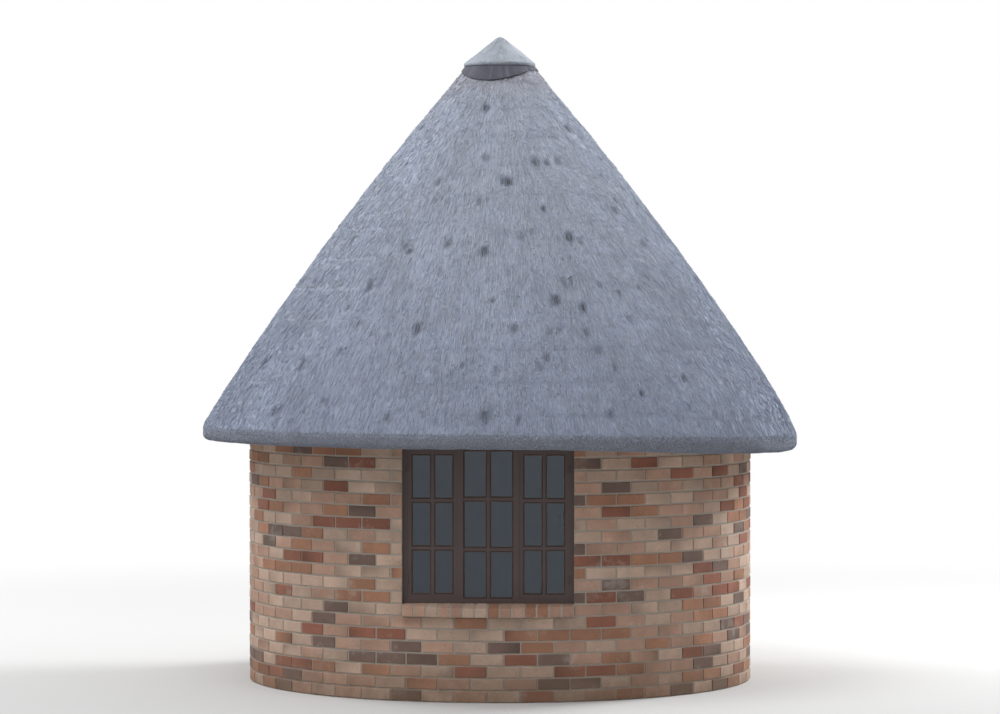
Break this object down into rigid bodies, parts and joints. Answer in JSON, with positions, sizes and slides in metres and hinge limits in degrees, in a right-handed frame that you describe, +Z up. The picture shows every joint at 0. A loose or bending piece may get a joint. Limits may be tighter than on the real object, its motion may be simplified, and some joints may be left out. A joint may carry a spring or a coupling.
{
  "type": "rondavel hut",
  "caption": "Round face-brick hut with a steep conical thatched roof, a mortar cap, a wide steel window and a plain door under an eyebrow in the eave.",
  "frame": {"origin": "ground level, on the axis of the round wall and roof", "axes": "+Z up; the window faces -Y and the door faces +Y"},
  "size_m": [4.3992, 4.4, 4.7451],
  "materials": {
    "brick": "matt face brick, red-brown with darker bricks among it, in grey mortar",
    "concrete": "wood-floated concrete, dusty",
    "infill": "rough brown mortar",
    "window_paint": "weathered dark brown paint on steel",
    "glass": "clear window glass",
    "door_paint": "dark red paint, satin, worn at the edges",
    "handle_steel": "satin steel",
    "hinge_steel": "painted steel",
    "pole": "peeled gum pole, dry and checked",
    "lath": "peeled sapling",
    "thatch": "weathered grey thatching grass",
    "collar": "dark bitumen felt, matt",
    "cap_mortar": "trowelled pale grey mortar"
  },
  "bodies": {
    "root": {"floor_slab": "concrete", "door_threshold": "concrete", "wall_front_left": "brick", "wall_front_right": "brick", "wall_left_front": "brick", "wall_left_back": "brick", "wall_right_front": "brick", "wall_right_back": "brick", "wall_back_left": "brick", "wall_back_right": "brick", "wall_under_window": "brick", "wall_over_door": "infill", "window_lintel": "concrete", "door_lintel": "concrete", "window_sill": "brick", "beam_fill": "brick", "window_frame": "window_paint", "casement_left": "window_paint", "casement_right": "window_paint", "window_glass": "glass", "door_frame": "door_paint", "door_leaf": "door_paint", "door_handle": "handle_steel", "door_hinges": "hinge_steel", "wall_plate": "pole", "apex_hub": "pole", "roof_laths": "lath", "eave_laths": "lath", "eyebrow_poles": "pole", "eyebrow_laths": "lath", "thatch": "thatch", "cap_collar": "collar", "ridge_cap": "cap_mortar", "rafter_01": "pole", "rafter_02": "pole", "rafter_03": "pole", "rafter_04": "pole", "rafter_05": "pole", "rafter_06": "pole", "rafter_07": "pole", "rafter_08": "pole", "rafter_09": "pole", "rafter_10": "pole", "rafter_11": "pole", "rafter_12": "pole"}
  },
  "joints": []
}
